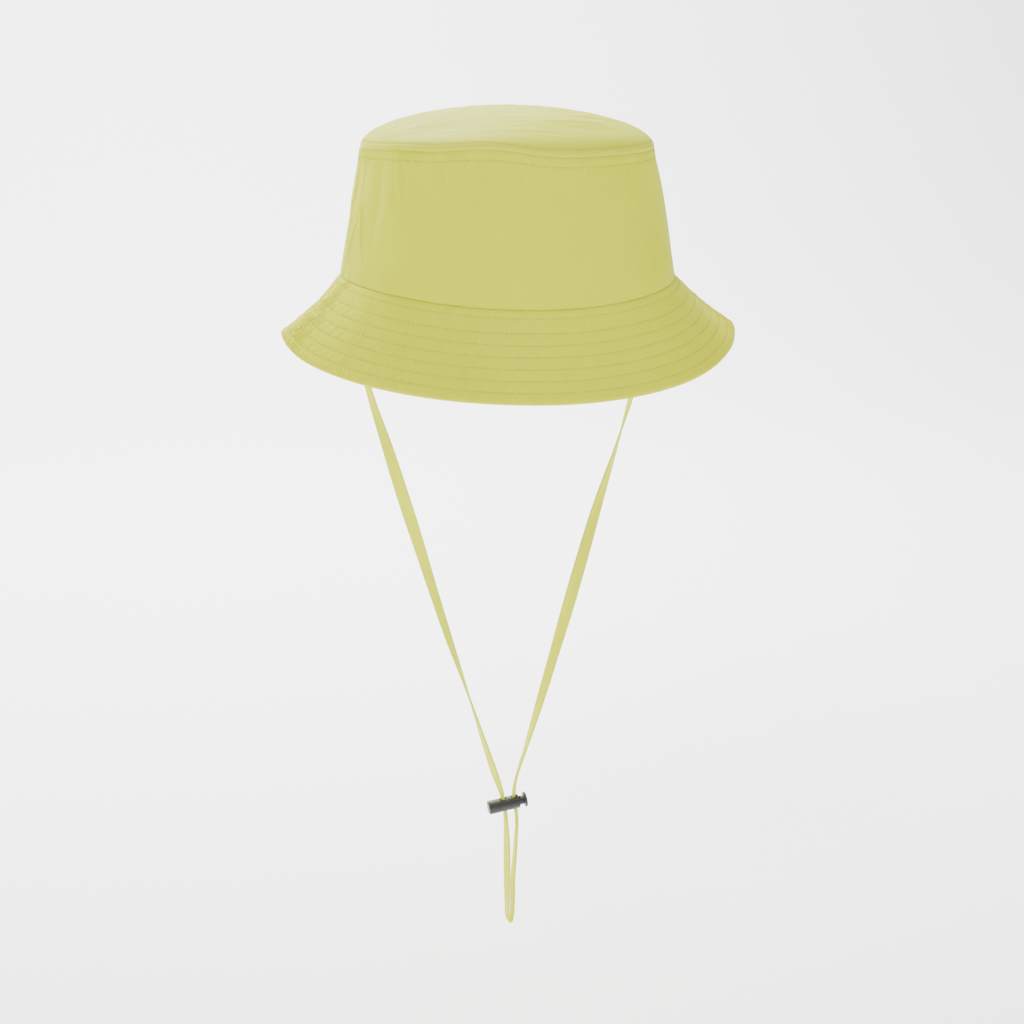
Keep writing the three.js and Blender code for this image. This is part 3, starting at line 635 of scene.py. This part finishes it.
def tip_lift(azimuth, lean):
    """How far the tip's cloth stands out from its plain form."""
    reach = np.sin(np.radians(lean))
    share_x = reach * np.cos(np.radians(azimuth))
    share_y = reach * np.sin(np.radians(azimuth))
    x = share_x * TIP_HALF_WIDTH
    y = share_y * TIP_HALF_DEPTH
    inside = np.sqrt(np.clip(1 - np.abs(reach) ** TIP_ROUNDNESS, 0, None))
    lift = np.zeros(x.shape)
    for crease in TIP_CREASES:
        from_x = crease["from_x"] * TIP_HALF_WIDTH
        from_y = crease["from_y"] * TIP_HALF_DEPTH
        line_x = crease["to_x"] * TIP_HALF_WIDTH - from_x
        line_y = crease["to_y"] * TIP_HALF_DEPTH - from_y
        length = math.hypot(line_x, line_y)
        along = ((x - from_x) * line_x + (y - from_y) * line_y) / length**2
        away = ((x - from_x) * line_y - (y - from_y) * line_x) / length
        depth = crease["depth"] * bell(away, crease["spread"]) * np.sin(math.pi * along)
        lift -= np.where((along > 0) & (along < 1), depth, 0) * inside**0.5
    from_rim = tip_from_rim(lean)
    round_rim = np.radians(azimuth) * 81
    lift += 0.28 * rumple(0.5 * x, y, 34, 11) * inside
    lift += 0.14 * rumple(0.4 * x, y, 9, 12) * inside
    near = bell(np.maximum(from_rim - TOPSTITCH_AT, 0), 3.2)
    uneven = 0.6 + 0.4 * rumple(x, y, 70, 13)
    lift += 0.2 * uneven * near * pucker(round_rim, from_rim, 3.4, -0.4, 14) * inside**0.3
    lift -= 0.2 * bell(from_rim - TOPSTITCH_AT, 0.45)
    lift += 0.12 * bell(from_rim - TOPSTITCH_AT / 2, 1.5)
    lift -= 0.25 * np.exp(-from_rim / 0.4)
    return lift


TIP_LEANS = np.linspace(0, 90, 721)


def tip_from_rim(lean):
    """Distance along the tip's side slope from its rim, in millimetres."""
    profile = tip_base(0 * TIP_LEANS, TIP_LEANS)
    steps = np.linalg.norm(np.diff(profile, axis=0), axis=1)
    reached = np.concatenate([[0], np.cumsum(steps)])
    return reached[-1] - np.interp(np.abs(lean), TIP_LEANS, reached)


def tip_lean_at(distance):
    """The lean at which the tip is this far from its rim."""
    return np.interp(distance, tip_from_rim(TIP_LEANS)[::-1], TIP_LEANS[::-1])


def tip_surface(azimuth, lean):
    return surface(tip_base, tip_lift, azimuth, lean, (-0.05, 0.05))


def tip_piece():
    columns = 520
    azimuth = (np.arange(columns) * 360 / columns)[:, None]
    from_rim = np.concatenate([places_between([0, TOPSTITCH_AT], 0.5), np.linspace(4.7, 84, 104)])
    leans = np.clip(tip_lean_at(from_rim)[::-1], 0.3, 89.8)
    outer, _ = tip_surface(azimuth, leans[None, :])
    inner_leans = np.array([89.8, 82, 70, 55, 38, 20, 0.3])
    inner = tip_base(*np.broadcast_arrays(azimuth, inner_leans[None, :]))
    inner[..., :2] *= 1 - CROWN_WALL / TIP_HALF_WIDTH
    inner[..., 2] -= CROWN_WALL
    points = np.concatenate([outer, inner], 1)
    to_rim = tip_from_rim(np.concatenate([leans, inner_leans]))
    # Painted shade along the tip's topstitch row and its seam with the crown
    seam = 0.2 * bell(to_rim - TOPSTITCH_AT, 0.35) + 0.55 * np.exp(-to_rim / 0.35)
    seam = np.broadcast_to(seam, points.shape[:2])
    obj = loft("tip_cloth", points, tip_nylon, points[..., :2], seam, closed_along=True)
    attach(obj, "hat")
    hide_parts("crown_tip")


tip_piece()

# The brim


def hermite(rows, name, azimuth):
    """Value of a column at azimuths between 0 and 180, level at both ends of the table."""
    at = column(rows, "azimuth")
    value = column(rows, name)
    steep = np.zeros(len(rows))
    steep[1:-1] = (value[2:] - value[:-2]) / (at[2:] - at[:-2])
    k = np.clip(np.searchsorted(at, azimuth, side="right") - 1, 0, len(rows) - 2)
    span = at[k + 1] - at[k]
    u = np.clip((azimuth - at[k]) / span, 0, 1)
    return (
        (2 * u**3 - 3 * u**2 + 1) * value[k]
        + (3 * u**2 - 2 * u**3) * value[k + 1]
        + (u**3 - 2 * u**2 + u) * span * steep[k]
        + (u**3 - u**2) * span * steep[k + 1]
    )


def brim_base(azimuth, distance):
    """Point of the brim's top, this far from the crown's seam along the cloth."""
    angle = np.radians(azimuth)
    from_right = azimuth_between(azimuth, 0)
    slope = hermite(BRIM_FORM, "slope", from_right)
    drawn = np.ones(np.shape(azimuth))
    for wave in BRIM_WAVES:
        near = bell(azimuth_between(azimuth, wave["azimuth"]), wave["spread"])
        slope = slope - wave["lift"] * near
        drawn = drawn - wave["draw"] / BRIM_WIDTH * near
    eased = hermite(BRIM_FORM, "ease", from_right)
    start = np.radians(slope + eased / 2)
    ease = np.radians(eased) / BRIM_WIDTH
    out = drawn * (np.sin(start) - np.sin(start - ease * distance)) / ease
    down = drawn * (np.cos(start - ease * distance) - np.cos(start)) / ease
    normal_x = np.cos(angle) / HEAD_HALF_WIDTH
    normal_y = np.sin(angle) / HEAD_HALF_DEPTH
    size = np.hypot(normal_x, normal_y)
    x = HEAD_HALF_WIDTH * np.cos(angle) + out * normal_x / size
    y = HEAD_HALF_DEPTH * np.sin(angle) + out * normal_y / size
    return np.stack([x, y, -seam_drop(azimuth) - down], -1)


def brim_rows_at(distance):
    """Which strip between two stitched rows a place is in, how far across and how near a row."""
    lines = np.array([0, *BRIM_ROWS, BRIM_WIDTH])
    k = np.clip(np.searchsorted(lines, distance, side="right") - 1, 0, len(lines) - 2)
    share = np.clip((distance - lines[k]) / (lines[k + 1] - lines[k]), 0, 1)
    to_row = np.minimum(np.abs(distance - lines[k]), np.abs(distance - lines[k + 1]))
    return k, np.sin(math.pi * share) ** 0.5, to_row


def brim_droop(azimuth, distance):
    """How far the brim hangs in where it curls down at its left back, in top and underside."""
    grown = np.sin(math.pi / 2 * np.clip(distance / DROOP_FROM_SEAM, 0, 1)) ** 2
    return DROOP * bell(azimuth_between(azimuth, 166), 17) * grown


def brim_lift(azimuth, distance):
    """How far the brim's top cloth stands out from its stitched rows."""
    along = np.radians(azimuth) * 112
    to_seam, left = seam_side(azimuth)
    aside = np.abs(np.radians(to_seam) * 108)
    strip, puff, to_row = brim_rows_at(distance)
    loose = (0.75 + 0.25 * rumple(along, 3 * distance, 60, 21)) * (1 - 0.7 * bell(aside, 14))
    calm = 1 - 0.85 * bell(azimuth_between(azimuth, 170), 8)
    lift = ROW_PUFF * 0.3 * puff * loose * calm - brim_droop(azimuth, distance)
    lift -= 0.12 * bell(to_row, 0.45)
    front_left = bell(azimuth_between(azimuth, 226), 26)
    back_right = bell(azimuth_between(azimuth, 52), 26)
    fine = 0.09 + 0.16 * np.maximum(front_left, back_right)
    lift += fine * (0.3 + 0.7 * puff) * pucker(along, distance, 2.5, 0.12, 22)
    lift += 0.12 * puff * pucker(along, distance, 6.5, 0.7 - 1.4 * (strip % 2), 23)
    gather = np.where(left, 0.55, 0.45) * bell(aside - 12, 8) * calm
    slant = 0.2 - 0.35 * (strip % 2)
    lift += gather * (0.35 + 0.65 * puff) * pucker(along, distance, 2.7, slant, 31)
    lift += 0.5 * gather * rumple(along, 0.6 * distance, 3.6, 32)
    lift -= 0.3 * bell(aside, 0.9)
    lift += 0.3 * rumple(along, 0.4 * distance, 75, 33) * np.clip(distance / 20, 0, 1)
    lift -= 0.9 * np.exp(-np.maximum(BRIM_WIDTH - distance, 0) / 0.5) + 0.4 * np.exp(-distance / 0.4)
    return lift


# Painted shade along the brim's stitched rows, uneven along them
def brim_painted_shade(azimuth, distance):
    _, _, to_row = brim_rows_at(distance)
    in_rows = np.where((distance > 2) & (distance < BRIM_WIDTH - 3), bell(to_row, 0.35), 0)
    return in_rows * (0.2 + 0.12 * rumple(np.radians(azimuth) * 112, 0 * distance, 25, 24))


def brim_surface(azimuth, distance):
    return surface(brim_base, brim_lift, azimuth, distance, (-0.05, 0.05))


def brim_under_lift(azimuth, distance):
    """The underside: its own puffs between the same rows, seen from below."""
    _, puff, _ = brim_rows_at(distance)
    along = np.radians(azimuth) * 112
    lift = -BRIM_WALL + 0.3 - 0.3 * puff - brim_droop(azimuth, distance)
    lift += 0.07 * puff * pucker(along, distance, 3.4, 0.3, 41)
    lift += 0.3 * rumple(along, 0.4 * distance, 75, 33) * np.clip(distance / 20, 0, 1)
    lift += 0.6 * np.exp(-np.maximum(BRIM_WIDTH - distance, 0) / 0.5)
    return lift


def brim_piece(name, node, start):
    azimuth = half_round(start, 700)
    tops = places_between([0, *BRIM_ROWS, BRIM_WIDTH], 0.75)
    unders = np.concatenate([[49, 48.6], np.linspace(48, 1, 30), [0]])
    top, _ = brim_surface(azimuth, tops[None, :])
    under, _ = surface(brim_base, brim_under_lift, azimuth, unders[None, :], (-0.05, 0.05))
    distance = np.concatenate([tops, unders])[None, :]
    cloth = cloth_place(np.radians(azimuth) * 112, distance)
    # The seam attribute holds the painted shade of the brim's stitched rows
    seam = np.broadcast_to(brim_painted_shade(azimuth, distance), cloth.shape[:2])
    obj = loft(name, np.concatenate([top, under], 1), brim_nylon, cloth, seam)
    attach(obj, "hat")
    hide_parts(node)


brim_piece("brim_cloth_front", "brim_front", 180)
brim_piece("brim_cloth_back", "brim_back", 0)

# Stitches


def stitched(name, seams, material):
    """Short threads lying along lines of points with normals, one mesh for all of them."""
    sides = 5
    shares = np.array([-0.5, -0.3, 0.3, 0.5])
    heights = np.array([-0.16, 0.1, 0.1, -0.16])
    widths = np.array([0.45, 1, 1, 0.45]) * THREAD / 2
    turn = np.arange(sides) * math.tau / sides
    points = []
    quads = []
    for line, normals in seams:
        reached = np.concatenate([[0], np.cumsum(np.linalg.norm(np.diff(line, axis=0), axis=1))])
        count = int(reached[-1] / STITCH_PITCH)
        middles = (np.arange(count) + 0.5) * reached[-1] / count
        for middle in middles:
            ends = [middle - STITCH_LENGTH / 2, middle + STITCH_LENGTH / 2]
            start, end = (np.array([np.interp(e, reached, line[:, k]) for k in range(3)]) for e in ends)
            up = np.array([np.interp(middle, reached, normals[:, k]) for k in range(3)])
            across = np.cross(up, end - start)
            across /= np.linalg.norm(across)
            first = len(points)
            for share, height, width in zip(shares, heights, widths):
                centre = (start + end) / 2 + (end - start) * share + up * height
                for angle in turn:
                    points.append(centre + width * (across * math.cos(angle) + up * math.sin(angle)))
            for ring in range(len(shares) - 1):
                for side in range(sides):
                    a = first + ring * sides + side
                    b = first + ring * sides + (side + 1) % sides
                    quads.append((a, b, b + sides, a + sides))
            quads.append(tuple(first + side for side in range(sides))[::-1])
            quads.append(tuple(first + (len(shares) - 1) * sides + side for side in range(sides)))
    # The threads carry the stitched lines' painted shade, on top of a slightly darker yellow
    obj = add_mesh(name, points, quads, material, seam=np.full(len(points), THREAD_PAINTED_SHADE))
    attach(obj, "hat")


round_hat = np.linspace(0.6, 359.4, 1800)
brim_seams = [brim_surface(round_hat, np.full(round_hat.shape, row)) for row in BRIM_ROWS]
stitched("brim_stitches", brim_seams, brim_nylon)
top_share = 1 - TOPSTITCH_AT / CROWN_HEIGHT
crown_seam = crown_surface(round_hat, np.full(round_hat.shape, top_share))
stitched("crown_stitches", [crown_seam], crown_nylon)
tip_seam = tip_surface(round_hat, np.full(round_hat.shape, float(tip_lean_at(TOPSTITCH_AT))))
stitched("tip_stitches", [tip_seam], tip_nylon)

# Floor, backdrop and light

FLOOR_Z = -0.46
FLOOR_REACH = 60
SWEEP_START = 1.6
SWEEP_RADIUS = 0.9
SWEEP_HALF_WIDTH = 3
SWEEP_TOP = 2.5

stage_collection = bpy.data.collections.new("stage")


def stage_piece(name, points, faces):
    mesh = bpy.data.meshes.new(name)
    mesh.from_pydata(points, [], faces)
    mesh.shade_smooth()
    mesh.materials.append(floor_material)
    obj = bpy.data.objects.new(name, mesh)
    bpy.context.scene.collection.objects.link(obj)
    stage_collection.objects.link(obj)


floor_material, floor_shader = principled("floor", (0.9, 0.9, 0.9, 1), 0.9)
floor_shader.inputs["Specular IOR Level"].default_value = 0.2
corners = [(-1, -1), (1, -1), (1, 1), (-1, 1)]
stage_piece("floor", [(x * FLOOR_REACH, y * FLOOR_REACH, FLOOR_Z) for x, y in corners], [(0, 1, 2, 3)])
profile = []
for turn in np.radians(np.linspace(0, 90, 31)):
    y = SWEEP_START + SWEEP_RADIUS * math.sin(turn)
    profile.append((y, FLOOR_Z - 0.002 + SWEEP_RADIUS * (1 - math.cos(turn))))
profile.append((SWEEP_START + SWEEP_RADIUS, SWEEP_TOP))
sweep = [(side * SWEEP_HALF_WIDTH, y, z) for y, z in profile for side in (-1, 1)]
stage_piece("backdrop", sweep, [(2 * k, 2 * k + 1, 2 * k + 3, 2 * k + 2) for k in range(len(profile) - 1)])

world = bpy.data.worlds.new("studio")
world.use_nodes = True
world.node_tree.nodes["Background"].inputs["Color"].default_value = (1, 1, 1, 1)
world.node_tree.nodes["Background"].inputs["Strength"].default_value = 0.28
bpy.context.scene.world = world

# Square soft lights, in metres: where they are, where they aim, how wide they are and how strong
LAMPS = [
    {"name": "key", "at": (-0.9, -1.4, 1.3), "aim": (0, 0, 0), "width": 0.35, "watts": 30},
    {"name": "fill", "at": (1.7, -1.0, 0.7), "aim": (0, 0, 0), "width": 0.7, "watts": 14},
    {"name": "top", "at": (-0.2, 1.0, 1.3), "aim": (0, 0, 0), "width": 0.5, "watts": 42},
]
STAGE_LAMP = {"name": "stage_light", "at": (0, 1.2, 2.0), "aim": (0, 2.4, 0), "width": 1.6, "watts": 300}


def square_lamp(row):
    light = bpy.data.lights.new(row["name"], "AREA")
    light.shape = "SQUARE"
    light.size = row["width"]
    light.energy = row["watts"]
    lamp = bpy.data.objects.new(row["name"], light)
    bpy.context.scene.collection.objects.link(lamp)
    lamp.location = row["at"]
    lamp.rotation_euler = (Vector(row["aim"]) - lamp.location).to_track_quat("-Z", "Y").to_euler()
    return lamp


for row in LAMPS:
    square_lamp(row)
square_lamp(STAGE_LAMP).light_linking.receiver_collection = stage_collection
